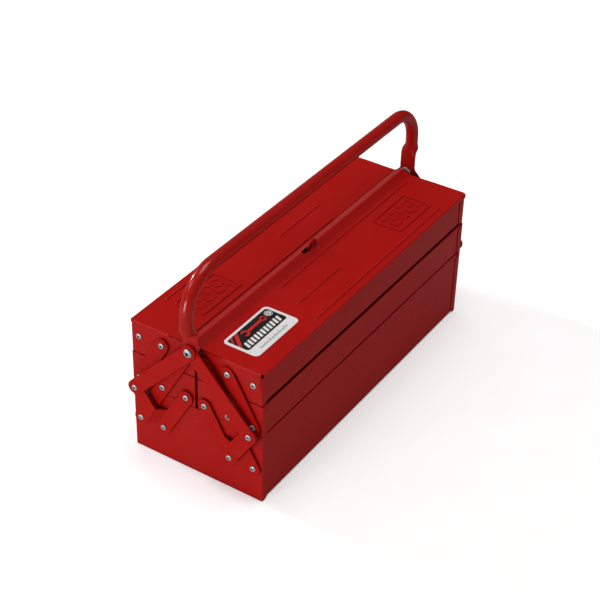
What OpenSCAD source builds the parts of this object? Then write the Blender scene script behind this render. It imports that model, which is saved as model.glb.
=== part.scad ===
// Cantilever carpenter toolbox: one deep base, two middle trays, two upper
// trays with lids, parallel link arms at both ends and one tubular handle
// whose arms pull the bell cranks and spread the trays.
// Axes: X along the box, Y across it, Z up. The origin is the centre of the
// underside of the base. End a is at -X, end b at +X; right is -Y, left is +Y.

/* [Box] */
// Length over the end panels
box_l = 515; // [460:1:560]
// Width of the base
box_w = 203.6; // [198:0.2:206]
// Height of the base
base_h = 106; // [104:0.5:106]
// Thickness of the body sheet
sheet = 0.9; // [0.7:0.1:1]
// Outside radius of the folded corners
bend_r = 3; // [2:0.5:4]
// How far an end panel wraps onto the long sides
wrap = 12; // [8:1:16]
// Outside radius of the vertical corners
corner_r = 1.2; // [1:0.1:2.5]

/* [Trays] */
// Underside of the middle trays
mid_z = 107; // [106.8:0.1:108]
// Height of the middle trays
mid_h = 48; // [40:1:48.5]
// Underside of the upper trays
upper_z = 156.5; // [156.3:0.1:157]
// Height of the end panels of the upper trays
upper_h = 47.4; // [42:0.1:47.5]
// How far the upper trays stand in from the base width
upper_inset = 1.2; // [1:0.1:2.5]
// Half of the gap between the two trays of one level
half_gap = 1.8; // [1.2:0.1:2.5]
// Height of the folded rim on the long walls
hem_h = 9; // [6:1:12]

/* [Lids] */
// Top face of the lids
lid_z = 205.5; // [205:0.1:206.5]
// Thickness of the lid sheet
lid_t = 0.9; // [0.7:0.1:1]
// How far the rolled outer edge stands past the base width, per side
lid_over = 0.8; // [0.7:0.1:2]
// Lowest point of the rolled outer edge
lip_z = 198.7; // [197:0.1:199.5]
// Height of the centre ridge above the lid
ridge_h = 5.2; // [4:0.1:7]
// Height of the embossed beads
bead_h = 1.3; // [0.6:0.1:1.6]
// Width of the embossed beads
bead_w = 4; // [3:0.5:5]

/* [Linkage] */
// Width of the straps
strap_w = 20; // [18:0.5:21]
// Thickness of the straps
strap_t = 2; // [1.5:0.1:2.2]
// Outer pivot on the base, distance from the middle
outer_y = 89.4; // [88:0.1:90]
// Inner pivot on the base, distance from the middle
inner_y = 52.3; // [51:0.1:53]
// Height of both base pivots
base_pivot_z = 52.5; // [50:0.5:55]
// Sideways step from one pivot level to the next
step_y = 37.8; // [37:0.1:38]
// Height from one pivot level to the next
step_z = 66.8; // [66:0.1:67.5]
// Pivot of the pull tab on the bell crank, distance from the middle
tab_y = 88.5; // [86:0.1:90]
// Height of the pull tab pivot
tab_z = 109.9; // [108:0.1:112]
// Distance of the lid hinge from the middle
hinge_y = 88.05; // [87:0.05:89]
// Height of the lid hinge
hinge_z = 184.3; // [183:0.1:185.5]

/* [Handle] */
// Height of the centre bolt
bolt_z = 204.0; // [200:0.1:205]
// Height of the middle line of the grip above the centre bolt
grip_h = 105; // [100:0.1:120]
// Outside diameter of the handle tube
tube_d = 18; // [14:0.5:19]
// Wall of the handle tube
tube_wall = 1.6; // [1.2:0.1:2]
// Radius of the two handle bends
tube_bend = 52.5; // [45:0.5:60]
// Width of the flattened tube ends
flat_w = 24; // [22:0.5:26]

/* [Fasteners] */
// Shank diameter of the rivets
rivet_d = 5; // [4.5:0.1:5.5]
// Head diameter of the rivets
head_d = 8.2; // [8:0.1:10]
// Shank diameter of the centre bolts
bolt_d = 8; // [7:0.5:8]
// Head diameter of the centre bolts
bolt_head_d = 12; // [12:0.5:15]
// Radial running clearance of the pivots
play = 0.06; // [0.03:0.01:0.1]

/* [Hidden] */

$fn = 48;
red = [0.62, 0.05, 0.04];
zinc = [0.78, 0.78, 0.76];

lap = 0.01;             // overlap of shapes fused into one solid
fit = 0.05;             // gap between close-fitting parts
gap = 0.1;              // assembly gap between stacked sheets
fixed_play = 0.02;      // radial gap around shanks that do not turn
side_inset = 0.006;     // straight sides lie this far inside their end circles
seat = sheet + fit;     // one sheet and its fit gap

// Layers along X, from the end panel outwards
half_w = box_w / 2;
end_x = box_l / 2;                       // outer face of the end panels
lid_end_in = end_x + gap;                // lid end flange
lid_end_out = lid_end_in + lid_t;
strap_in = end_x + 1.3;
strap_out = strap_in + strap_t;
flat_in = end_x + 7;                     // flattened handle end
flat_out = flat_in + 2 * tube_wall;
arm_right_x = flat_out + gap;            // inner faces of the handle arms
arm_left_x = arm_right_x + strap_t + gap;
function arm_x(side) = side < 0 ? arm_right_x : arm_left_x;
// Inner face of the raised tab of a bell crank
function tab_x(side) = arm_x(side) - 0.3 - strap_t;

// Pivots as [distance from the middle, height]
step = [-step_y, step_z];
base_outer = [outer_y, base_pivot_z];
base_inner = [inner_y, base_pivot_z];
mid_inner = base_inner + step;
mid_middle = base_outer + step;
mid_outer = [outer_y - 0.8, base_pivot_z + step_z];
upper_inner = mid_middle + step;
upper_outer = mid_outer + step;
tab = [tab_y, tab_z];
hinge = [hinge_y, hinge_z];
bolt = [0, bolt_z];
strap_r = strap_w / 2;
rivet_r = rivet_d / 2;
bolt_r = bolt_d / 2;

// ---------- placement ----------
// A profile drawn in (across, up), given thickness along X from x0 to x1
module yz(x0, x1) {
  translate([x0, 0, 0]) rotate([90, 0, 90]) linear_extrude(x1 - x0) children();
}
// A profile drawn in (along, up), given thickness along Y from y0 to y1
module xz(y0, y1) {
  translate([0, y1, 0]) rotate([90, 0, 0]) linear_extrude(y1 - y0) children();
}
// Everything is drawn at end b (+X) and on the left (+Y), then mirrored
module place(end, side) {
  mirror([end < 0 ? 1 : 0, 0, 0]) mirror([0, side < 0 ? 1 : 0, 0]) children();
}
module both_ends(side = 1) {
  for (end = [-1, 1]) place(end, side) children();
}
// Turns the Z axis of its children to +X, starting at x on the point at = [y, z]
module outward(x, at) {
  translate([x, at[0], at[1]]) rotate([0, 90, 0]) children();
}
module disc(x0, x1, at, r) {
  outward(x0, at) cylinder(h = x1 - x0, r = r);
}
module rod(x0, x1, at, r) {
  outward(x0, at) cylinder(h = x1 - x0, r = r, $fn = 32);
}
module holes(points, r) {
  for (p = points) disc(end_x - 8, end_x + 20, p, r);
}

// ---------- trays and base ----------
// Rounded lower corners, square top
module tub(y0, z0, y1, z1, r) {
  for (y = [y0 + r, y1 - r]) translate([y, z0 + r]) circle(r = r);
  translate([y0 + r, z0]) square([y1 - y0 - 2 * r, r + lap]);
  translate([y0, z0 + r]) square([y1 - y0, z1 - z0 - r]);
}
// Folded rim inside a wall; outer face at y, top at z, dir points out of the wall
module hem(y, z, dir) {
  middle = y - dir * sheet;
  translate([middle - sheet, z - hem_h]) square([2 * sheet, hem_h - sheet]);
  translate([middle, z - sheet]) circle(r = sheet, $fn = 24);
}
// Trough of one sheet: floor and two long walls with folded rims.
// top0 and top1 are the heights of the walls at y0 and y1.
module trough(y0, y1, z0, top0, top1) {
  reach = end_x - corner_r - fit;
  top = max(top0, top1);
  half = (y1 - y0) / 2;
  yz(-reach, reach) {
    difference() {
      tub(y0, z0, y1, top - sheet, bend_r);
      tub(y0 + sheet, z0 + sheet, y1 - sheet, top + 1, bend_r - sheet);
      translate([y0 - 1, top0 - sheet]) square([half, 60]);
      translate([(y0 + y1) / 2, top1 - sheet]) square([half + 1, 60]);
    }
    hem(y0, top0, -1);
    hem(y1, top1, 1);
  }
}
// Plan of an end panel: face and two flanges that wrap onto the long sides
module wrap_plan(y0, y1) {
  r = corner_r;
  face_w = y1 - y0 - 2 * r;
  difference() {
    union() {
      translate([end_x - wrap, y0]) square([wrap - r, y1 - y0]);
      translate([end_x - r - lap, y0 + r]) square([r + lap, face_w]);
      for (y = [y0 + r, y1 - r]) translate([end_x - r, y]) circle(r = r);
    }
    translate([end_x - wrap - 1, y0 + sheet]) square([wrap + 1 - r, y1 - y0 - 2 * sheet]);
    translate([end_x - r - lap, y0 + r]) square([r + lap - sheet, face_w]);
    for (y = [y0 + r, y1 - r]) translate([end_x - r, y]) circle(r = r - sheet);
  }
}
// Slanting cuts at the top and bottom of a flange
module flange_cuts(z0, z1) {
  tip = end_x - wrap - 1;
  polygon([[end_x - corner_r - 0.4, z1 + 0.5], [tip, z1 + 0.5], [tip, z1 - wrap + corner_r - 0.6]]);
  polygon([[tip + 6, z0 - 0.5], [tip, z0 - 0.5], [tip, z0 + 5.5]]);
}
module end_panel(y0, y1, z0, z1) {
  rim_h = 6;
  rim_l = y1 - y0 - 2 * bend_r - 2;
  foot_l = 10;
  difference() {
    union() {
      translate([0, 0, z0]) linear_extrude(z1 - z0) wrap_plan(y0, y1);
      // rim folded in along the top edge
      translate([end_x - 2 * sheet - 2 * lap, y0 + bend_r + 1, z1 - rim_h])
        cube([sheet + 4 * lap, rim_l, rim_h - sheet]);
      translate([end_x - sheet, y1 - bend_r - 1, z1 - sheet]) rotate([90, 0, 0])
        cylinder(h = rim_l, r = sheet, $fn = 24);
      // foot flange just above the floor of the trough
      translate([end_x - foot_l, y0 + bend_r + 1.5, z0 + seat])
        cube([foot_l - 0.3, rim_l - 1, sheet]);
    }
    xz(y0 - 1, y0 + sheet + 2 * lap) flange_cuts(z0, z1);
    xz(y1 - sheet - 2 * lap, y1 + 1) flange_cuts(z0, z1);
  }
}

module base_shell() {
  color(red) trough(-(half_w - seat), half_w - seat, 0, base_h, base_h);
}
module base_end(end) {
  pivots = [for (side = [-1, 1]) for (p = [base_outer, base_inner]) [side * p[0], p[1]]];
  color(red) place(end, 1) difference() {
    union() {
      end_panel(-half_w, half_w, 0, base_h);
      // small pressed stop
      outward(end_x - 0.2, [0, 84]) cylinder(h = 1, r1 = 3, r2 = 1.4, $fn = 32);
    }
    holes(pivots, rivet_r + fixed_play);
  }
}
module mid_shell(side) {
  top = mid_z + mid_h;
  color(red) place(1, side) trough(half_gap + seat, half_w - seat, mid_z, top, top - 1);
}
module mid_end(end, side) {
  color(red) place(end, side) difference() {
    end_panel(half_gap, half_w, mid_z, mid_z + mid_h);
    holes([mid_inner, mid_middle, mid_outer], rivet_r + fixed_play);
  }
}

upper_side = half_w - upper_inset;   // outer face of the upper trays
lid_fold_r = 1.8;                    // outside radius of the lid folds
fold_in_r = lid_fold_r - lid_t;
// Largest reach of the tray wall about the lid hinge
wall_reach = lid_z - lid_t - hinge_z - 0.3;
// Reach of the end panel corner, under the lid's end fold
corner_reach = lid_z - lid_fold_r - hinge_z
  + sqrt(pow(fold_in_r, 2) - pow(fold_in_r - gap, 2)) - 0.3;
module upper_shell(side) {
  outer_top = hinge_z + sqrt(pow(wall_reach, 2) - pow(upper_side - hinge_y, 2)) - 0.2;
  color(red) place(1, side)
    trough(half_gap + seat, upper_side - seat, upper_z, upper_z + upper_h - 1.4, outer_top);
}
module upper_end(end, side) {
  color(red) place(end, side) difference() {
    end_panel(half_gap, upper_side, upper_z, upper_z + upper_h);
    holes([upper_inner, upper_outer, hinge], rivet_r + fixed_play);
    // top outer corner rounded about the lid hinge
    difference() {
      translate([end_x - 40, hinge_y, hinge_z]) cube([60, 40, 40]);
      disc(end_x - 41, end_x + 21, hinge, corner_reach);
    }
  }
}

// ---------- lids ----------
lid_side = half_w + lid_over;        // outer face of the rolled edge
fold_z = lid_z - lid_fold_r;         // centre height of the lid folds
left_inner = 16;                     // inner edge of the left lid
flange_in = 41;                      // inner tip of the end flange
flange_out = 98.5;                   // outer side of the end flange
eye_r = flange_out - hinge_y;        // round eye of the end flange

// Quarter-round fold whose outer face is at edge
module lid_fold(edge) {
  translate([edge - lid_fold_r, fold_z]) intersection() {
    difference() {
      circle(r = lid_fold_r);
      circle(r = fold_in_r);
    }
    square([lid_fold_r + 1, lid_fold_r + 1]);
  }
}
module lid_profile(y_in) {
  lip_r = lid_t / 2;
  translate([y_in, lid_z - lid_t]) square([lid_side - lid_fold_r - y_in, lid_t]);
  translate([lid_side - lid_t, lip_z + lip_r]) square([lid_t, fold_z - lip_z - lip_r]);
  translate([lid_side - lip_r, lip_z + lip_r]) circle(r = lip_r, $fn = 24);
  lid_fold(lid_side);
}
// End flange: a triangle that ends in a round eye about the lid hinge
module flange_shape() {
  top = fold_z + lap;
  tip = [flange_in, top];
  to_hinge = hinge - tip;
  angle = atan2(to_hinge[1], to_hinge[0]) - asin(eye_r / norm(to_hinge));
  tangent_l = sqrt(to_hinge * to_hinge - eye_r * eye_r);
  touch = tip + tangent_l * [cos(angle), sin(angle)];
  polygon([tip, touch, hinge, [flange_out, hinge_z], [flange_out, top]]);
  translate(hinge) circle(r = eye_r);
}
module lid_flange() {
  difference() {
    union() {
      yz(lid_end_in, lid_end_out) flange_shape();
      xz(flange_in, flange_out) lid_fold(lid_end_out);
    }
    disc(end_x - 1, end_x + 3, hinge, rivet_r + play);
  }
}

emboss_z = lid_z - 0.3;              // embossed shapes start inside the lid sheet
// Straight bead with round ends
module bead(x0, x1, y) {
  r = (bead_w * bead_w / 4 + bead_h * bead_h) / (2 * bead_h);
  z = lid_z + bead_h - r;
  ends = [x0 + bead_w / 2, x1 - bead_w / 2];
  intersection() {
    union() {
      rod(ends[0], ends[1], [y, z], r);
      for (x = ends) translate([x, y, z]) sphere(r = r, $fn = 32);
    }
    translate([x0 - 5, y - 10, emboss_z]) cube([x1 - x0 + 10, 20, 5]);
  }
}
// Raised rectangular frame with rounded corners
module frame_bead(x0, y0, x1, y1, r) {
  w = 3.2;
  h = bead_h + 0.1;
  for (y = [y0, y1 - w]) translate([x0 + r, y, emboss_z]) cube([x1 - x0 - 2 * r, w, h]);
  for (x = [x0, x1 - w]) translate([x, y0 + r, emboss_z]) cube([w, y1 - y0 - 2 * r, h]);
  for (i = [0, 1]) for (j = [0, 1])
    translate([i ? x1 - r : x0 + r, j ? y1 - r : y0 + r, emboss_z]) intersection() {
      difference() {
        cylinder(h = h, r = r);
        translate([0, 0, -1]) cylinder(h = 4, r = r - w);
      }
      translate([i ? 0 : -r - 1, j ? 0 : -r - 1, -1]) cube([r + 1, r + 1, 6]);
    }
}
// Chequer pattern of short slanting ribs inside the frame
module frame_motif(x, y) {
  pitch = 10.5;
  rib_l = 8.4;
  rib_w = 2.2;
  for (i = [-3:3]) for (j = [-1:1])
    translate([x + i * pitch, y + j * pitch, emboss_z])
      rotate([0, 0, (i + j) % 2 == 0 ? 45 : -45])
        translate([-rib_l / 2, -rib_w / 2, 0]) cube([rib_l, rib_w, bead_h]);
}
module lid_beads(first_y) {
  bead(-92, 236, first_y);
  bead(-110, -8.5, 54);
  bead(-126, 199.5, 90.4);
  frame_bead(113.5, 29.6, 201, 77, 6);
  frame_motif(157.2, 53.3);
}

foot_right = 9.9;                    // foot of the ridge on the right lid, towards -Y
foot_left = 15.3;                    // foot of the ridge at the edge of the left lid
apex_y = 2.6;                        // crest of the ridge, measured towards the left lid
// Roof-shaped ridge, as [across, up]
module ridge_profile() {
  under = lid_z - lid_t;
  crest = lid_z + ridge_h;
  polygon([
    // outer line, right to left
    [-foot_right - 0.8, lid_z], [-foot_right, lid_z + 0.12],
    [apex_y - 2.2, crest - 0.55], [apex_y - 0.9, crest - 0.1],
    [apex_y + 0.9, crest - 0.1], [apex_y + 2.2, crest - 0.55],
    [foot_left - 0.5, lid_z + 0.35], [foot_left - 0.1, lid_z + 0.05],
    [foot_left, lid_z - 0.3], [foot_left, under - 0.6],
    // inner line, left to right
    [foot_left - 0.7, under - 0.6], [foot_left - 0.9, under + 0.1],
    [apex_y + 1.8, crest - 1.45], [apex_y + 0.7, crest - 1.05],
    [apex_y - 0.7, crest - 1.05], [apex_y - 1.8, crest - 1.45],
    [-foot_right + 0.2, under + 0.1], [-foot_right - 0.8, under]]);
}
module lid_half(y_in) {
  flat_x = lid_end_out - lid_fold_r;
  difference() {
    union() {
      yz(-flat_x, flat_x) lid_profile(y_in);
      both_ends() lid_flange();
    }
    // square notch at each corner
    both_ends() translate([flat_x - 1, flange_out, lid_z - 12]) cube([12, 12, 20]);
  }
}
module lid_left() {
  edge_x = end_x - 2.3;
  edge_h = 6;
  color(red) union() {
    lid_half(left_inner);
    // inner edge turned down between the end panels
    translate([-edge_x, left_inner, lid_z - edge_h])
      cube([2 * edge_x, lid_t, edge_h - lid_t / 2]);
    mirror([1, 0, 0]) lid_beads(19);
  }
}
// Slot for the staple, along X
module staple_slot() {
  x0 = -13;
  x1 = 17.4;
  y = 1.6;
  r = 3.4;
  z = lid_z - 4;
  h = 16;
  for (x = [x0 + r, x1 - r]) translate([x, y, z]) cylinder(h = h, r = r);
  translate([x0 + r, y - r + side_inset, z]) cube([x1 - x0 - 2 * r, 2 * (r - side_inset), h]);
}
module lid_right() {
  color(red) difference() {
    union() {
      mirror([0, 1, 0]) lid_half(foot_right + 0.5);
      yz(-(lid_end_out - 1), lid_end_out - 1) ridge_profile();
      mirror([0, 1, 0]) lid_beads(15.8);
    }
    staple_slot();
  }
}
module lock_staple() {
  thick = 2.8;
  ring_r = 9.2;
  hole_r = 6.4;                      // padlock hole
  ring_x = 7.5;
  lean = 15;                         // the ring leans towards the right lid
  color(red) {
    translate([ring_x, 0.2, lid_z + 7.7]) rotate([lean, 0, 0]) difference() {
      union() {
        rotate([90, 0, 0]) translate([0, 0, -thick / 2]) cylinder(h = thick, r = ring_r);
        // shoulders under the slot
        translate([-ring_r - 2, -thick / 2, -ring_r - 0.7]) cube([2 * ring_r + 4, thick, 2.6]);
      }
      rotate([90, 0, 0]) translate([0, 0, -thick / 2 - 1]) cylinder(h = thick + 2, r = hole_r);
    }
    // foot plate under the right lid and the ridge
    translate([ring_x - ring_r - 5, -15, lid_z - lid_t - 1.3])
      cube([2 * ring_r + 10, 18.6, 1.25]);
  }
}
// Thin plate with rounded corners on the right lid
module label_plate() {
  l = 95.4;
  w = 53.4;
  h = 0.35;
  r = 7;
  color("white") translate([-232.3, -75.8, lid_z + 0.02]) {
    translate([r, 0, 0]) cube([l - 2 * r, w, h]);
    translate([0, r, 0]) cube([l, w - 2 * r, h]);
    for (x = [r, l - r]) for (y = [r, w - r]) translate([x, y, 0]) cylinder(h = h, r = r);
  }
}

// ---------- straps ----------
// Straight strap between two pivots, in the strap layer
module strap(from, to) {
  dir = (to - from) / norm(to - from);
  offset_side = [-dir[1], dir[0]] * (strap_r - side_inset);
  for (p = [from, to]) disc(strap_in, strap_out, p, strap_r);
  yz(strap_in, strap_out)
    polygon([from + offset_side, to + offset_side, to - offset_side, from - offset_side]);
}
module long_arm(end, side) {
  color(red) place(end, side) difference() {
    strap(base_outer, upper_inner);
    holes([base_outer, mid_middle, upper_inner], rivet_r + play);
  }
}
module short_arm(end, side) {
  color(red) place(end, side) difference() {
    strap(mid_outer, upper_outer);
    holes([mid_outer, upper_outer], rivet_r + play);
  }
}

// Directions along and square to the flat leg and the raised leg of the crank
leg_dir = step / norm(step);
leg_normal = [leg_dir[1], -leg_dir[0]];
tab_dir = (tab - base_inner) / norm(tab - base_inner);
tab_normal = [tab_dir[1], -tab_dir[0]];
// Bend lines of the web, as distances from the middle of the flat leg
bend_low = strap_r;
bend_high = strap_r + 11.6;
notch = 31;                          // end of the web along the flat leg
// Place along the bend line across where the raised leg's side edge is met
function edge_at(across, edge) =
  (edge - across * (tab_normal * leg_normal)) / (tab_normal * leg_dir);
function leg_point(along, across) = base_inner + along * leg_dir + across * leg_normal;
// Bell crank: flat leg to the tray, raised leg to the handle arm, and the
// sloping web between them that lifts the raised leg over the long arm
module bell_crank(end, side) {
  tab_in = tab_x(side);
  tab_out = tab_in + strap_t;
  lift = tab_in - strap_in;
  low = edge_at(bend_low, strap_r);
  high = edge_at(bend_high, strap_r);
  high_far = edge_at(bend_high, -strap_r) + 3;
  edge = (strap_r - side_inset) * tab_normal;
  color(red) place(end, side) difference() {
    union() {
      // flat leg
      strap(base_inner, mid_inner);
      yz(strap_in, strap_out) polygon([
        base_inner - 0.5 * leg_dir, base_inner + edge,
        leg_point(low, bend_low + 0.3), leg_point(notch, bend_low + 0.3), leg_point(notch, 0)]);
      // sloping web, cut to the outline of the leg
      intersection() {
        multmatrix([
          [1, 0, 0, 0],
          [0, leg_normal[0], leg_dir[0], base_inner[0]],
          [0, leg_normal[1], leg_dir[1], base_inner[1]],
          [0, 0, 0, 1]])
          translate([0, 0, -60]) linear_extrude(140) polygon([
            [strap_in, bend_low], [strap_out, bend_low],
            [strap_out + lift, bend_high], [strap_in + lift, bend_high]]);
        yz(strap_in - 1, tab_out + 1) polygon([
          leg_point(low, bend_low), leg_point(high, bend_high),
          leg_point(high_far, bend_high), leg_point(notch, bend_low)]);
      }
      // raised leg
      disc(tab_in, tab_out, tab, strap_r);
      yz(tab_in, tab_out) polygon([
        leg_point(high, bend_high - 0.3), tab + edge, tab + 0.5 * tab_dir, tab - edge,
        leg_point(high_far, bend_high - 0.3)]);
    }
    holes([base_inner, mid_inner], rivet_r + play);
    disc(tab_in - 3, tab_in + 5, tab, rivet_r + play);
  }
}

// Outline between two round ends of different radii, with tangent sides
module taper(from, from_r, to, to_r) {
  span = norm(to - from);
  dir = (to - from) / span;
  normal = [-dir[1], dir[0]];
  sine = (from_r - to_r) / span;
  cosine = sqrt(1 - sine * sine);
  side_a = sine * dir + cosine * normal;
  side_b = sine * dir - cosine * normal;
  r0 = from_r - side_inset;
  r1 = to_r - side_inset;
  polygon([
    from + r0 * side_a, to + r1 * side_a, to + 0.5 * dir,
    to + r1 * side_b, from + r0 * side_b, from - 0.5 * dir]);
}
module handle_arm(end, side) {
  bolt_end_r = 10.2;
  tab_end_r = 10.5;
  x0 = arm_x(side);
  x1 = x0 + strap_t;
  color(red) place(end, side) difference() {
    union() {
      disc(x0, x1, bolt, bolt_end_r);
      disc(x0, x1, tab, tab_end_r);
      yz(x0, x1) taper(bolt, bolt_end_r, tab, tab_end_r);
    }
    disc(x0 - 1, x0 + 5, bolt, bolt_r + play);
    disc(x0 - 1, x0 + 5, tab, rivet_r + fixed_play);
  }
}

// ---------- fasteners ----------
tail_r = head_d / 2 - 0.6;           // flat rivet tails
// Semi-tubular rivet head on the face x, domed outwards; points are [radius, height]
module rivet_head(x, at) {
  r = head_d / 2;
  outward(x, at) rotate_extrude() polygon([
    [0, 0], [r, 0], [r, 0.55], [r - 0.45, 1.15], [r - 1.2, 1.55],
    [2.45, 1.65], [2.0, 1.5], [1.75, 0.4], [0, 0.3]]);
}
// Whole rivet: head outside the face x, shank through to the inside of the
// end panel, spacing collar up to the strap and a flat tail inside the tray
module rivet(x, at, collar) {
  rivet_head(x, at);
  disc(end_x - seat, x + 2 * lap, at, rivet_r);
  disc(end_x - sheet - 1.1, end_x - seat, at, tail_r);
  if (collar) disc(end_x + fit, strap_in - gap, at, head_d / 2 - 0.3);
}
module strap_rivets(points, side) {
  both_ends(side) for (p = points) rivet(strap_out + gap, p, true);
}
module base_rivets() {
  color(zinc) for (side = [-1, 1]) strap_rivets([base_outer, base_inner], side);
}
module mid_rivets(side) {
  color(zinc) strap_rivets([mid_inner, mid_middle, mid_outer], side);
}
module upper_rivets(side) {
  color(zinc) {
    strap_rivets([upper_inner, upper_outer], side);
    both_ends(side) rivet(lid_end_out + gap, hinge, false);
  }
}
// The pull tab rivet is in two pieces that meet at the open pivot: the head
// and shank stay in the handle arm, the tail stays on the tab
module tab_rivets(side) {
  x = arm_x(side);
  head_x = x + strap_t + gap;
  color(zinc) both_ends(side) {
    rivet_head(head_x, tab);
    disc(x + fit, head_x + 2 * lap, tab, rivet_r);
  }
}
module tab_tails(side) {
  x = tab_x(side);
  color(zinc) both_ends(side) {
    disc(x - 1.15, x - fit, tab, tail_r);
    disc(x - fit - lap, x + strap_t - 0.02, tab, rivet_r);
  }
}

module centre_bolts() {
  r = bolt_head_d / 2;
  head_x = arm_left_x + strap_t + gap;
  recess_w = 6.8;
  color(zinc) both_ends() difference() {
    union() {
      // domed head, as [radius, height]
      outward(head_x, bolt) rotate_extrude() polygon([
        [0, 0], [r, 0], [r, 1.3], [r - 0.6, 2.3], [r - 1.8, 3.1], [r - 3.2, 3.5], [0, 3.6]]);
      disc(end_x + 0.7, head_x + 2 * lap, bolt, bolt_r);
    }
    // cross recess
    translate([head_x + 1.2, 0, bolt_z]) {
      for (a = [25, 115]) rotate([a, 0, 0])
        translate([0, -recess_w / 2, -1]) cube([4, recess_w, 2]);
      rotate([0, 90, 0]) cylinder(h = 4, r = 2, $fn = 32);
    }
  }
}
washer_t = 1.6;
washer_x = flat_in - gap - washer_t;
module centre_washers() {
  color(red) both_ends() difference() {
    disc(washer_x, washer_x + washer_t, bolt, 10.5);
    disc(washer_x - 1, washer_x + 3, bolt, bolt_r + play);
  }
}
module centre_nuts() {
  nut_t = 4;
  color(zinc) both_ends() difference() {
    outward(washer_x - fit - nut_t, bolt) cylinder(h = nut_t, r = 8.6, $fn = 6);
    disc(end_x, washer_x + 3, bolt, bolt_r + fixed_play);
  }
}

// ---------- handle ----------
leg_x = end_x + 16;                  // middle line of each handle leg
flat_top = 29;                       // end of the flattened part, above the bolt
round_z = 42;                        // start of the round tube, above the bolt
tube_r = tube_d / 2;
bore_r = tube_r - tube_wall;
module handle_leg() {
  // flattened end with its round tip
  yz(flat_in, flat_out) {
    translate(bolt) circle(r = flat_w / 2);
    translate([-flat_w / 2, bolt_z]) square([flat_w, flat_top + 0.5]);
  }
  // shoulder between flat and tube
  hull() {
    translate([flat_in, -flat_w / 2, bolt_z + flat_top]) cube([flat_out - flat_in, flat_w, 0.5]);
    translate([leg_x, 0, bolt_z + round_z - 0.5]) cylinder(h = 0.5, r = tube_r, $fn = 36);
  }
}
module handle_tube() {
  grip_z = bolt_z + grip_h;
  grip_x = leg_x - tube_bend;        // half the straight length of the grip
  leg_z = bolt_z + round_z;
  leg_h = grip_h - tube_bend - round_z;
  color(red) difference() {
    union() {
      both_ends() {
        handle_leg();
        difference() {
          translate([leg_x, 0, leg_z]) cylinder(h = leg_h, r = tube_r);
          translate([leg_x, 0, leg_z + 2]) cylinder(h = leg_h, r = bore_r);
        }
        translate([grip_x, 0, grip_z - tube_bend]) rotate([90, 0, 0])
          rotate_extrude(angle = 90) translate([tube_bend, 0]) difference() {
            circle(r = tube_r);
            circle(r = bore_r);
          }
      }
      difference() {
        rod(-grip_x, grip_x, [0, grip_z], tube_r);
        rod(-grip_x - 1, grip_x + 1, [0, grip_z], bore_r);
      }
    }
    both_ends() disc(flat_in - 2, flat_out + 2, bolt, bolt_r + play);
  }
}

base_shell();
base_end(-1);  // base_end_a
base_end(1);  // base_end_b
mid_shell(-1);  // mid_tray_right_shell
mid_end(-1, -1);  // mid_tray_right_end_a
mid_end(1, -1);  // mid_tray_right_end_b
mid_shell(1);  // mid_tray_left_shell
mid_end(-1, 1);  // mid_tray_left_end_a
mid_end(1, 1);  // mid_tray_left_end_b
upper_shell(-1);  // upper_tray_right_shell
upper_end(-1, -1);  // upper_tray_right_end_a
upper_end(1, -1);  // upper_tray_right_end_b
upper_shell(1);  // upper_tray_left_shell
upper_end(-1, 1);  // upper_tray_left_end_a
upper_end(1, 1);  // upper_tray_left_end_b
lid_right();
lid_left();
lock_staple();
label_plate();
long_arm(-1, -1);  // long_arm_right_a
long_arm(1, -1);  // long_arm_right_b
long_arm(-1, 1);  // long_arm_left_a
long_arm(1, 1);  // long_arm_left_b
bell_crank(-1, -1);  // bell_crank_right_a
bell_crank(1, -1);  // bell_crank_right_b
bell_crank(-1, 1);  // bell_crank_left_a
bell_crank(1, 1);  // bell_crank_left_b
short_arm(-1, -1);  // short_arm_right_a
short_arm(1, -1);  // short_arm_right_b
short_arm(-1, 1);  // short_arm_left_a
short_arm(1, 1);  // short_arm_left_b
handle_arm(-1, -1);  // handle_arm_right_a
handle_arm(1, -1);  // handle_arm_right_b
handle_arm(-1, 1);  // handle_arm_left_a
handle_arm(1, 1);  // handle_arm_left_b
base_rivets();
mid_rivets(-1);  // mid_tray_right_rivets
mid_rivets(1);  // mid_tray_left_rivets
upper_rivets(-1);  // upper_tray_right_rivets
upper_rivets(1);  // upper_tray_left_rivets
tab_rivets(-1);  // tab_rivets_right
tab_rivets(1);  // tab_rivets_left
tab_tails(-1);  // tab_rivet_tails_right
tab_tails(1);  // tab_rivet_tails_left
handle_tube();
centre_bolts();
centre_washers();
centre_nuts();
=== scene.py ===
"""A red enamelled sheet-steel box with lids, arms and a bent-tube carrying handle.

It stands on the floor at z = 0 with its length along X and Z up. The handle spans the
length, with one leg at each X end. The printed label lies on the right lid, towards -X
and -Y, and the camera looks down from that same corner.
Shapes are given in millimetres and scaled by MM. The stage, lights and materials are
in metres.
"""
import math
import bmesh
import bpy
from mathutils import Matrix, Vector


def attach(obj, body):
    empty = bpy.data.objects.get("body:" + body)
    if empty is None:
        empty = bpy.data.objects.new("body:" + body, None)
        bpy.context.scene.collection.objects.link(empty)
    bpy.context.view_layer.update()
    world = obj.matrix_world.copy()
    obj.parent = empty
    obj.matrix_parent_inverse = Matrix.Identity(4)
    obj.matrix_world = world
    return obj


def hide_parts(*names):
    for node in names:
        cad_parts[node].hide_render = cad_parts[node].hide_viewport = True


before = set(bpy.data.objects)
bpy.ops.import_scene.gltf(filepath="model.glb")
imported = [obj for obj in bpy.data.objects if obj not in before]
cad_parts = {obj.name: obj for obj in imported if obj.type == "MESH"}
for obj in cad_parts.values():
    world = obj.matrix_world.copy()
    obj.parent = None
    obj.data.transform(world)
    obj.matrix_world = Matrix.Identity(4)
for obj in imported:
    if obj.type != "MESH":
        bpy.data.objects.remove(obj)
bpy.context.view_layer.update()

MM = 0.001


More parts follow.
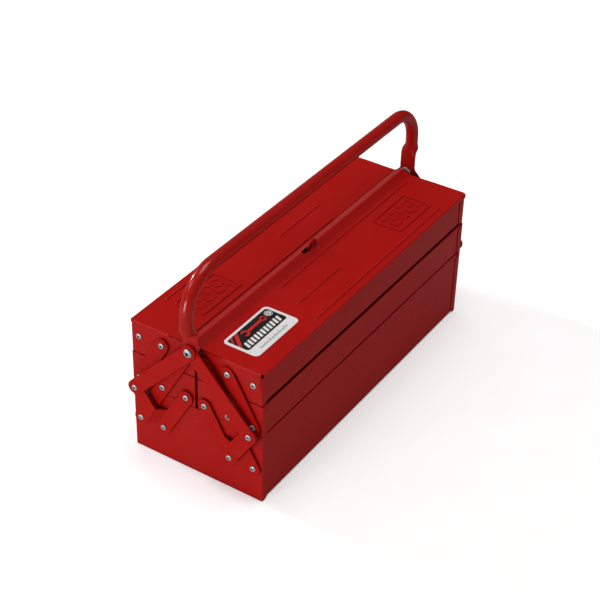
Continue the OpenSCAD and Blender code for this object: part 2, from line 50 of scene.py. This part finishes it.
def add_object(name, data):
    obj = bpy.data.objects.new(name, data)
    bpy.context.scene.collection.objects.link(obj)
    return obj


# ---------------------------------------------------------------- shader node helpers
class Nodes:
    """Short ways to add nodes to a node tree. Each input takes a value or an output to link."""

    def __init__(self, tree):
        self.tree = tree

    def feed(self, socket, value):
        if isinstance(value, (tuple, int, float)):
            socket.default_value = value
        else:
            self.tree.links.new(value, socket)

    def add(self, kind, inputs=None, **settings):
        node = self.tree.nodes.new(kind)
        for key, value in settings.items():
            setattr(node, key, value)
        for key, value in (inputs or {}).items():
            self.feed(node.inputs[key], value)
        return node

    def coord(self, scale=(1, 1, 1)):
        """Object coordinates, stretched per axis."""
        source = self.add("ShaderNodeTexCoord").outputs["Object"]
        return self.add("ShaderNodeMapping", {"Scale": scale, "Vector": source}).outputs["Vector"]

    def noise(self, vector, scale, detail=2.0, rough=0.5):
        inputs = {"Scale": scale, "Detail": detail, "Roughness": rough, "Vector": vector}
        return self.add("ShaderNodeTexNoise", inputs).outputs["Fac"]

    def remap(self, source, span, to):
        """Clamped linear map of the range `span` onto the range `to`."""
        inputs = {"From Min": span[0], "From Max": span[1],
                  "To Min": to[0], "To Max": to[1], "Value": source}
        return self.add("ShaderNodeMapRange", inputs).outputs["Result"]

    def math(self, operation, a, b):
        return self.add("ShaderNodeMath", {0: a, 1: b}, operation=operation).outputs[0]

    def mix(self, factor, a, b):
        """Colour mix; sockets 6 and 7 are the colour pair of the Mix node."""
        return self.add("ShaderNodeMix", {0: factor, 6: a, 7: b}, data_type="RGBA").outputs[2]

    def occlusion(self, distance):
        node = self.add("ShaderNodeAmbientOcclusion", {"Distance": distance}, samples=6)
        return node.outputs["AO"]

    def rounded_edge(self, radius, samples):
        node = self.add("ShaderNodeBevel", {"Radius": radius}, samples=samples)
        return node.outputs["Normal"]

    def bump(self, height, strength, distance, normal=None):
        inputs = {"Strength": strength, "Distance": distance, "Height": height}
        if normal is not None:
            inputs["Normal"] = normal
        return self.add("ShaderNodeBump", inputs).outputs["Normal"]


class Material(Nodes):
    """A new material with one Principled surface."""

    def __init__(self, name):
        self.material = bpy.data.materials.new(name)
        self.material.use_nodes = True
        super().__init__(self.material.node_tree)
        self.tree.nodes.clear()
        output = self.add("ShaderNodeOutputMaterial")
        self.principled = self.add("ShaderNodeBsdfPrincipled")
        self.feed(output.inputs[0], self.principled.outputs[0])

    def surface(self, **inputs):
        """Feeds Principled inputs, named with underscores for spaces."""
        for key, value in inputs.items():
            self.feed(self.principled.inputs[key.replace("_", " ")], value)


def tinted(colour, gain, lift=(0, 0, 0)):
    """RGBA: each channel times its gain, plus its lift."""
    return (*(c * g + extra for c, g, extra in zip(colour, gain, lift)), 1)


# ---------------------------------------------------------------- materials
def paint(name, base, rough, wave=0.35, peel=0.12, coat=0.45, spec=0.10):
    """Baked enamel on sheet steel; wave and peel are the bump strengths of the sheet
    waviness and the orange peel."""
    m = Material(name)
    v = m.coord()
    broad = m.noise(v, scale=7.0, detail=3.0, rough=0.55)
    fine = m.noise(v, scale=900.0, rough=0.6)
    peel_height = m.noise(v, scale=420.0, detail=3.0)
    wave_height = m.noise(m.coord((0.7, 1.0, 1.0)), scale=11.0, detail=1.5, rough=0.4)

    # broad tone drift, then a darker fine grain
    body = m.mix(m.remap(broad, span=(0.35, 0.65), to=(0, 1)),
                 tinted(base, gain=(0.965, 0.93, 0.93)), tinted(base, gain=(1.03, 1.08, 1.08)))
    body = m.mix(m.remap(fine, span=(0.55, 0.75), to=(0, 0.10)),
                 body, tinted(base, gain=(0.7, 0.6, 0.6)))

    # sparse hair scuffs drawn out along X
    hairs = m.noise(m.coord((8, 220, 220)), scale=3.0, rough=0.6)
    scuff = m.math("MULTIPLY", m.remap(hairs, span=(0.70, 0.74), to=(0, 1)),
                   m.remap(m.noise(v, scale=23.0), span=(0.52, 0.62), to=(0, 1)))
    body = m.mix(m.math("MULTIPLY", scuff, 0.10), body,
                 tinted(base, gain=(1.3, 3, 3), lift=(0, 0.02, 0.02)))

    # painted shade: darker in corners, creases and between parts, driven by ambient occlusion
    painted_corner_shade = m.remap(m.occlusion(distance=0.009), span=(0.25, 0.88), to=(0.6, 0))
    body = m.mix(painted_corner_shade, body, tinted(base, gain=(0.3, 0.2, 0.2)))

    # gloss wanders a little and is duller on the scuffs
    gloss = m.remap(m.noise(v, scale=30.0, detail=4.0, rough=0.6),
                    span=(0.3, 0.7), to=(rough - 0.045, rough + 0.055))
    gloss = m.math("ADD", gloss, m.math("MULTIPLY", scuff, 0.12))

    normal = m.rounded_edge(radius=0.0004, samples=6)
    normal = m.bump(wave_height, strength=wave, distance=0.0011, normal=normal)
    normal = m.bump(peel_height, strength=peel, distance=0.00012, normal=normal)
    m.surface(Base_Color=body, Roughness=gloss, Normal=normal, Coat_Normal=normal,
              Metallic=0.0, IOR=1.5, Specular_IOR_Level=spec,
              Coat_Weight=coat, Coat_Roughness=0.17, Coat_IOR=1.4)
    return m.material


def zinc(name, base, warm, rough):
    """Bright zinc plate: warm patches, grime specks and near-black painted shade in the hollows.
    """
    m = Material(name)
    v = m.coord()
    patch = m.noise(v, scale=180.0)
    body = m.mix(m.remap(patch, span=(0.52, 0.70), to=(0, 0.35)), (*base, 1), (*warm, 1))
    grime = m.noise(v, scale=650.0, detail=3.0)
    body = m.mix(m.remap(grime, span=(0.58, 0.75), to=(0, 0.35)), body, (0.16, 0.15, 0.14, 1))
    # painted shade: recesses and hollows go near black, driven by ambient occlusion
    painted_hollow_shade = m.remap(m.occlusion(distance=0.003), span=(0.64, 0.92), to=(1, 0))
    body = m.mix(painted_hollow_shade, body, (0.010, 0.009, 0.009, 1))
    normal = m.bump(m.noise(v, scale=1400.0), strength=0.25, distance=0.00006,
                    normal=m.rounded_edge(radius=0.00025, samples=4))
    m.surface(Base_Color=body, Normal=normal, Metallic=0.55,
              Roughness=m.remap(grime, span=(0.3, 0.7), to=(rough - 0.06, rough + 0.14)))
    return m.material


def film(name, base, grain=0.03):
    """Printed vinyl film: fine print mottle of depth `grain`, small ripples, soft gloss."""
    m = Material(name)
    v = m.coord()
    mottle = m.noise(v, scale=260.0, detail=3.0)
    body = m.mix(m.remap(mottle, span=(0.4, 0.6), to=(0, 1)),
                 tinted(base, gain=(1 - grain,) * 3),
                 tinted(base, gain=(1 + grain,) * 3, lift=(0.004,) * 3))
    rough = 0.28
    gloss = m.remap(m.noise(v, scale=60.0), span=(0.3, 0.7), to=(rough - 0.04, rough + 0.06))
    ripple = m.bump(m.noise(v, scale=35.0), strength=0.12, distance=0.0004)
    m.surface(Base_Color=body, Roughness=gloss, Normal=ripple,
              Metallic=0.0, Coat_Weight=0.15, Coat_Roughness=0.2)
    return m.material


RED = (0.42, 0.0045, 0.0026)
SHEET = paint("enamel_sheet", RED, rough=0.36)
STRAP = paint("enamel_strap", RED, rough=0.36, wave=0.15, coat=0.22, spec=0.07)
# the staple's red is darker than the sheet's: painted shade for its face that turns away from the
# key light
STAPLE_SHADED = paint("enamel_staple_painted_shade", (0.34, 0.004, 0.0024), rough=0.5, wave=0.1, coat=0.05, spec=0.06)
TUBE = paint("enamel_tube", (0.40, 0.0045, 0.0026), rough=0.30,
             wave=0.05, peel=0.03, coat=0.8, spec=0.15)
ZINC = zinc("zinc_plate", base=(0.66, 0.72, 0.75), warm=(0.62, 0.61, 0.54), rough=0.36)
BOLT = zinc("zinc_bolt", base=(0.64, 0.70, 0.73), warm=(0.60, 0.59, 0.52), rough=0.34)
WHITE = film("film_white", (0.82, 0.82, 0.81))
BLACK = film("film_black", (0.012, 0.011, 0.011), grain=0.2)
LABEL_RED = film("film_red", (0.62, 0.018, 0.012))
INK = film("film_ink", (0.10, 0.10, 0.10))


def material_for(name):
    """The material of a CAD piece, chosen by its name."""
    whole_names = {"label_plate": WHITE, "handle_tube": TUBE, "lock_staple": STAPLE_SHADED,
                   "centre_washers": STRAP}
    if name in whole_names:
        return whole_names[name]
    name_parts = (("bolts", BOLT), ("nuts", BOLT), ("rivet", ZINC),
                  ("arm", STRAP), ("crank", STRAP))
    for part, material in name_parts:
        if part in name:
            return material
    return SHEET


def dress(obj, material):
    """Makes `material` the only one on the object."""
    obj.data.materials.clear()
    obj.data.materials.append(material)
    for face in obj.data.polygons:
        face.material_index = 0


for node_name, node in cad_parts.items():
    dress(node, material_for(node_name))


# ---------------------------------------------------------------- handle
PIVOT_Z = 204.0          # height of the holes in the pressed ends
GRIP_RISE = 105.0        # from the holes up to the grip's centreline
BEND_RADIUS = 52.5       # centreline radius of the two corners
LEG_X = 273.5            # centreline of a leg
TUBE_RADIUS = 9.0
END_HALF_WIDTH = 12.0    # pressed end, along Y
END_THICKNESS = 3.2      # pressed end, along X
END_HALF = END_THICKNESS / 2
END_X = LEG_X - TUBE_RADIUS + END_HALF   # mid-plane; its inner face is flush with the tube's
HOLE_RADIUS = 4.06
HOLE_CUT_DEPTH = 12.0

RING_POINTS = 56
BEND_RINGS = 26
GRIP_RINGS = 12          # from a bend to the middle of the grip
LEG_TOP = GRIP_RISE - BEND_RADIUS
# ring heights above the holes, from the rounded tip to just below the step
END_STATIONS = [-11.95, -11.75, -11.3, -10.5, -9.2, -7.5, -5.5, -3, 0, 4, 8, 12, 16, 19, 21.5]
# even rings through the step, then a wider pitch up to the bend
STEP_START, STEP_PITCH, STEP_RINGS = 22.2, 0.7, 42
LEG_PITCH = 1.6

ANGLES = [2 * math.pi * j / RING_POINTS for j in range(RING_POINTS)]


def smooth01(x):
    x = min(1.0, max(0.0, x))
    return x * x * (3 - 2 * x)


def pressed_point(angle, half_width):
    """(x, y) on the pressed end's outline: two flats with folded edges."""
    cosine, sine = math.cos(angle), math.sin(angle)
    # powers below 1 square the outline off: strongly across, slightly along
    x = END_HALF * math.copysign(abs(cosine) ** 0.22, cosine)
    y = half_width * math.copysign(abs(sine) ** 0.9, sine)
    # 0 on the flat, 1 at the edge; 0.97 leaves a sliver of thickness there
    fold = min(1.0, max(0.0, abs(y) - (half_width - END_HALF)) / END_HALF)
    return END_X + x * math.sqrt(1 - 0.97 * fold * fold), y


def leg_ring(z):
    """Ring at height z above the hole: the pressed end swelling into the round tube."""
    inner_start, inner_length = 25.0, 19.0
    width_start, width_length = 27.0, 19.0
    outer_length = 8.0
    lip_height, lip_rise, lip_spread = 0.45, 8.5, 3.4   # bulge at the head of the step

    half_width = END_HALF_WIDTH if z >= 0 else math.sqrt(END_HALF_WIDTH ** 2 - z * z)
    narrowing = smooth01((z - width_start) / width_length)
    ring = []
    for angle in ANGLES:
        x, y = pressed_point(angle, half_width)
        # the outer step is a lopsided U: low in the middle, higher towards both edges
        across = y / END_HALF_WIDTH
        step_z = 24.0 + 3.0 * across + 8.5 * across ** 2
        if math.cos(angle) > 0:
            swell = smooth01((z - step_z) / outer_length)
        else:
            swell = smooth01((z - inner_start) / inner_length)
        lip = lip_height * math.exp(-((z - step_z - lip_rise) / lip_spread) ** 2)
        lip *= max(0.0, math.cos(angle))
        tube_x = LEG_X + TUBE_RADIUS * math.cos(angle)
        tube_y = TUBE_RADIUS * math.sin(angle)
        ring.append((x + (tube_x - x) * swell + lip, y + (tube_y - y) * narrowing, PIVOT_Z + z))
    return ring


def bend_ring(turn):
    """Ring in the corner, `turn` radians past the leg; slightly flattened mid-bend."""
    oval = 0.35 * math.sin(2 * turn)
    ring = []
    for angle in ANGLES:
        reach = BEND_RADIUS + (TUBE_RADIUS - oval * 0.9) * math.cos(angle)
        ring.append((LEG_X - BEND_RADIUS + reach * math.cos(turn),
                     (TUBE_RADIUS + oval * 0.5) * math.sin(angle),
                     PIVOT_Z + LEG_TOP + reach * math.sin(turn)))
    return ring


def grip_ring(x):
    return [(x, TUBE_RADIUS * math.sin(angle), PIVOT_Z + GRIP_RISE + TUBE_RADIUS * math.cos(angle))
            for angle in ANGLES]


def handle_rings():
    """All rings from the +X tip over the grip to the -X tip."""
    heights = END_STATIONS + [STEP_START + STEP_PITCH * i for i in range(STEP_RINGS)]
    while heights[-1] + LEG_PITCH < LEG_TOP:
        heights.append(heights[-1] + LEG_PITCH)
    if LEG_TOP > heights[-1]:
        heights.append(LEG_TOP)
    rings = [leg_ring(z) for z in heights]
    rings += [bend_ring(math.pi / 2 * i / BEND_RINGS) for i in range(1, BEND_RINGS + 1)]
    rings += [grip_ring((LEG_X - BEND_RADIUS) * (1 - i / GRIP_RINGS))
              for i in range(1, GRIP_RINGS + 1)]
    # the last ring lies on the mirror plane, so it isn't repeated
    return rings + [[(-x, y, z) for x, y, z in ring] for ring in reversed(rings[:-1])]


def object_from_bmesh(name, shell):
    mesh = bpy.data.meshes.new(name)
    shell.to_mesh(mesh)
    shell.free()
    return add_object(name, mesh)


def cut_hole(obj, x):
    """Cuts a hole along X through the pressed end centred at x."""
    cylinder = bmesh.new()
    place = Matrix.Translation((x * MM, 0, PIVOT_Z * MM)) @ Matrix.Rotation(math.pi / 2, 4, "Y")
    bmesh.ops.create_cone(cylinder, cap_ends=True, segments=40, radius1=HOLE_RADIUS * MM,
                          radius2=HOLE_RADIUS * MM, depth=HOLE_CUT_DEPTH * MM, matrix=place)
    cutter = object_from_bmesh("cut", cylinder)
    hole = obj.modifiers.new("hole", "BOOLEAN")
    hole.operation = "DIFFERENCE"
    hole.solver = "EXACT"
    hole.object = cutter
    bpy.context.view_layer.update()
    depsgraph = bpy.context.evaluated_depsgraph_get()
    baked = bpy.data.meshes.new_from_object(obj.evaluated_get(depsgraph))
    obj.modifiers.clear()
    obj.data = baked
    bpy.data.objects.remove(cutter)


def make_handle():
    """Bent tube with both ends pressed flat and drilled."""
    shell = bmesh.new()
    rings = [[shell.verts.new((x * MM, y * MM, z * MM)) for x, y, z in ring]
             for ring in handle_rings()]
    for ring, following in zip(rings, rings[1:]):
        for j in range(RING_POINTS):
            k = (j + 1) % RING_POINTS
            shell.faces.new((ring[j], ring[k], following[k], following[j]))
    shell.faces.new(list(reversed(rings[0])))
    shell.faces.new(rings[-1])
    bmesh.ops.recalc_face_normals(shell, faces=shell.faces)
    handle = object_from_bmesh("handle_bent_tube", shell)
    for side in (-1, 1):
        cut_hole(handle, side * END_X)
    dress(handle, TUBE)
    for face in handle.data.polygons:
        # faces with many corners, such as the caps, stay flat
        face.use_smooth = len(face.vertices) < 12
    bpy.context.view_layer.update()
    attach(handle, "handle")
    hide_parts("handle_tube")


make_handle()


# ---------------------------------------------------------------- label print
LABEL_FACE = 205.5 + 0.02 + 0.35   # height of the label's face: lid, gap and plate
CHAMFER = 0.04                     # round the top of every printed shape


def prism(name, outline, bottom, top, material):
    """A flat plate from a counter-clockwise outline, with a tiny chamfer round its top."""
    count = len(outline)
    outline = [(x * MM, y * MM) for x, y in outline]
    inset = []
    for i in range(count):
        before, here, after = (Vector(outline[k % count]) for k in (i - 1, i, i + 1))
        along = (here - before).normalized() + (after - here).normalized()
        inset.append(here + Vector((-along.y, along.x)).normalized() * (CHAMFER * MM))
    verts = [(x, y, bottom * MM) for x, y in outline]
    verts += [(x, y, top * MM - CHAMFER * MM) for x, y in outline]
    verts += [(p.x, p.y, top * MM) for p in inset]
    faces = [tuple(reversed(range(count))), tuple(range(2 * count, 3 * count))]
    for level in (0, count):
        for i in range(count):
            j = (i + 1) % count
            faces.append((level + i, level + j, level + count + j, level + count + i))
    mesh = bpy.data.meshes.new(name)
    mesh.from_pydata(verts, [], faces)
    mesh.validate()
    plate = add_object(name, mesh)
    mesh.materials.append(material)
    return plate


def label_piece(name, outlines, bottom, top, material):
    """Printed shapes joined into one thin piece; bottom and top are above the label's face."""
    parts = [prism(name, outline, LABEL_FACE + bottom, LABEL_FACE + top, material)
             for outline in outlines]
    piece = parts[0]
    if len(parts) > 1:
        joined = bmesh.new()
        for part in parts:
            joined.from_mesh(part.data)
        bmesh.ops.recalc_face_normals(joined, faces=joined.faces)
        joined.to_mesh(piece.data)
        joined.free()
        for part in parts[1:]:
            bpy.data.objects.remove(part)
    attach(piece, "lid_right")


def rounded_rectangle(x0, y0, x1, y1, radius, segments=8):
    corners = ((x1 - radius, y0 + radius, -90), (x1 - radius, y1 - radius, 0),
               (x0 + radius, y1 - radius, 90), (x0 + radius, y0 + radius, 180))
    points = []
    for x, y, start in corners:
        for i in range(segments + 1):
            angle = math.radians(start + 90 * i / segments)
            points.append((x + radius * math.cos(angle), y + radius * math.sin(angle)))
    return points


def band(outer, inner):
    """Quads between two rows of points."""
    return [[outer[i], outer[i + 1], inner[i + 1], inner[i]] for i in range(len(outer) - 1)]


def ring_band(x, y, outer, inner, count, start=0.0):
    """Quads of a closed ring; outer and inner are radii, start turns the first corner."""
    rows = []
    for radius in (outer, inner):
        angles = [start + 2 * math.pi * i / count for i in range(count)]
        row = [(x + radius * math.cos(angle), y + radius * math.sin(angle)) for angle in angles]
        rows.append(row + row[:1])
    return band(*rows)


def spanner_shapes():
    """Open jaw facing -X, shank, and ring end at +X."""
    jaw_x, y = -200.5, -35.6
    jaw_radius, jaw_hollow = 6.2, 2.7
    shank_start, shank_end, shank_half = jaw_x + 5.3, -165.6, 2.3
    outer, inner = [], []
    for degrees in range(-152, 153, 8):
        angle = math.radians(degrees)
        cosine, sine = math.cos(angle), math.sin(angle)
        outer.append((jaw_x + jaw_radius * cosine, y + jaw_radius * sine))
        if abs(degrees) > 120:
            # straight, parallel sides towards the mouth
            inner.append((jaw_x + 3.0 * cosine - 0.6, y + math.copysign(jaw_hollow, angle)))
        else:
            inner.append((jaw_x + jaw_hollow * cosine, y + jaw_hollow * sine))
    shank = [(shank_start, y - shank_half), (shank_end, y - shank_half),
             (shank_end, y + shank_half), (shank_start, y + shank_half)]
    return band(outer, inner) + [shank] + ring_band(-161.4, y, outer=5.0, inner=2.6, count=24)


def stripe_shapes():
    """A row of bars leaning towards +X."""
    first, pitch, count = -222.6, 6.9, 11
    width, lean = 4.2, 3.2
    bottom, top = -56.6, -46.4
    return [[(x, bottom), (x + width, bottom), (x + lean + width, top), (x + lean, top)]
            for x in (first + pitch * i for i in range(count))]


def tick_shapes():
    """Ticks along the white strip, their tops repeating in fours."""
    first, pitch, count, width = -214.0, 2.6, 23, 1.1
    bottom, tops = -70.0, (-65.4, -67.0, -66.4, -67.0)
    shapes = []
    for i in range(count):
        x, top = first + pitch * i, tops[i % 4]
        shapes.append([(x, bottom), (x + width, bottom), (x + width, top), (x, top)])
    return shapes


def make_label():
    field = rounded_rectangle(-227.8, -59.6, -141.3, -26.1, radius=4)
    label_piece("label_field", [field], bottom=0.005, top=0.05, material=BLACK)
    # two slanting bars across the field's corner towards -X and +Y
    bars = [[(-227.4, -43.5), (-227.4, -50.5), (-205.0, -26.4), (-212.0, -26.4)],
            [(-227.4, -34.5), (-227.4, -38.5), (-216.6, -26.4), (-220.6, -26.4)]]
    label_piece("label_bars", bars, bottom=0.04, top=0.08, material=LABEL_RED)
    label_piece("label_spanner", spanner_shapes(), bottom=0.04, top=0.085, material=LABEL_RED)
    label_piece("label_stripes", stripe_shapes(), bottom=0.04, top=0.085, material=WHITE)
    # hexagon nut inside a circle
    badge_x, badge_y = -148.6, -34.9
    badge = ring_band(badge_x, badge_y, outer=5.6, inner=4.7, count=36)
    badge += ring_band(badge_x, badge_y, outer=3.9, inner=1.7, count=6, start=0.3)
    label_piece("label_badge", badge, bottom=0.04, top=0.085, material=WHITE)
    label_piece("label_dashes", tick_shapes(), bottom=0.005, top=0.05, material=INK)


make_label()


# ---------------------------------------------------------------- stage, lights, camera
def make_floor():
    half = 9.0
    mesh = bpy.data.meshes.new("floor")
    corners = [(-half, -half, 0), (half, -half, 0), (half, half, 0), (-half, half, 0)]
    mesh.from_pydata(corners, [], [(0, 1, 2, 3)])
    floor = add_object("floor", mesh)
    floor.location = (0, 0, -0.0004)   # just clear of the box's underside

    m = Material("pale_floor")
    v = m.coord()
    mottle = m.remap(m.noise(v, scale=14.0, detail=3.0), span=(0.3, 0.7), to=(0, 1))
    colour = m.mix(mottle, (0.90, 0.90, 0.895, 1), (0.93, 0.93, 0.93, 1))
    # dark in glossy reflections; for the camera it glows, more so further out
    rays = m.add("ShaderNodeLightPath")
    colour = m.mix(rays.outputs["Is Glossy Ray"], colour, (0.16, 0.16, 0.16, 1))
    distance = m.add("ShaderNodeVectorMath", {0: v}, operation="LENGTH").outputs["Value"]
    glow = m.remap(distance, span=(0.55, 2.6), to=(0.34, 0.98))
    m.surface(Base_Color=colour, Roughness=0.8, Specular_IOR_Level=0.1,
              Emission_Color=(1, 1, 1, 1),
              Emission_Strength=m.math("MULTIPLY", rays.outputs["Is Camera Ray"], glow))
    mesh.materials.append(m.material)


def make_world():
    """White to the camera; a sky brightening upwards to the box, held back in reflections."""
    world = bpy.data.worlds.new("studio")
    world.use_nodes = True
    nodes = Nodes(world.node_tree)
    direction = nodes.add("ShaderNodeTexCoord").outputs["Generated"]
    height = nodes.add("ShaderNodeSeparateXYZ", {0: direction}).outputs[2]
    sky = nodes.remap(height, span=(-0.05, 0.9), to=(0.05, 0.56))
    rays = nodes.add("ShaderNodeLightPath")
    held = nodes.remap(rays.outputs["Is Glossy Ray"], span=(0.0, 1.0), to=(1.0, 0.11))
    # sockets 2 and 3 are the float pair of the Mix node
    strength = nodes.add("ShaderNodeMix", {0: rays.outputs["Is Camera Ray"],
                                           2: nodes.math("MULTIPLY", sky, held),
                                           3: 1.0}, data_type="FLOAT")
    background = world.node_tree.nodes["Background"]
    nodes.feed(background.inputs[0], (1, 1, 1, 1))
    nodes.feed(background.inputs[1], strength.outputs[0])
    bpy.context.scene.world = world


def area(name, location, target, size, power):
    """A rectangular light aimed at target; size is (width, height)."""
    light = bpy.data.lights.new(name, "AREA")
    light.shape = "RECTANGLE"
    light.size, light.size_y = size
    light.energy = power
    lamp = add_object(name, light)
    lamp.location = location
    aim = Vector(target) - Vector(location)
    lamp.rotation_euler = aim.to_track_quat("-Z", "Y").to_euler()
    return lamp


def make_lights():
    area("key", (-0.30, 2.30, 1.46), target=(0, 0, 0.15), size=(0.30, 0.30), power=24)
    area("end_fill", (-2.4, 0.45, 0.38), target=(0, 0, 0.06), size=(0.9, 0.8), power=21)
    area("top", (0.15, -0.2, 2.5), target=(0, 0, 0.1), size=(1.3, 1.3), power=18)
    # seen only in the gloss: they draw the light lines on beads, folds and tube
    cards = (area("card_back", (1.9, 1.9, 0.50), target=(0, 0, 0.2), size=(2.0, 0.7), power=1.0),
             area("card_left", (-1.5, 1.3, 1.9), target=(0, 0, 0.2), size=(0.7, 0.7), power=7))
    for card in cards:
        card.visible_diffuse = False


def make_camera():
    azimuth, elevation, roll = map(math.radians, (-55.93437, 35.64741, 0.508229))
    # where the world origin lies from the camera: mm right, down and forward
    origin = Vector((60.61737, 90.96438, 2131.07504))
    nudge = Vector((0, 0.00095, 0))
    forward = -Vector((math.sin(azimuth) * math.cos(elevation),
                       -math.cos(azimuth) * math.cos(elevation), math.sin(elevation)))
    level_right = forward.cross(Vector((0, 0, 1))).normalized()
    level_up = level_right.cross(forward)
    right = level_right * math.cos(roll) + level_up * math.sin(roll)
    up = -level_right * math.sin(roll) + level_up * math.cos(roll)

    lens = bpy.data.cameras.new("camera")
    camera = add_object("camera", lens)
    pose = Matrix((right, up, -forward)).transposed().to_4x4()
    pose.translation = -(right * origin.x - up * origin.y + forward * origin.z) * MM + nudge
    camera.matrix_world = pose
    lens.sensor_width = 36.0
    lens.lens = 89.49282
    lens.shift_x, lens.shift_y = 0.0632425, 0.013359
    lens.clip_start, lens.clip_end = 0.05, 50
    bpy.context.scene.camera = camera


bpy.context.scene.view_settings.view_transform = "Standard"
make_floor()
make_world()
make_lights()
make_camera()
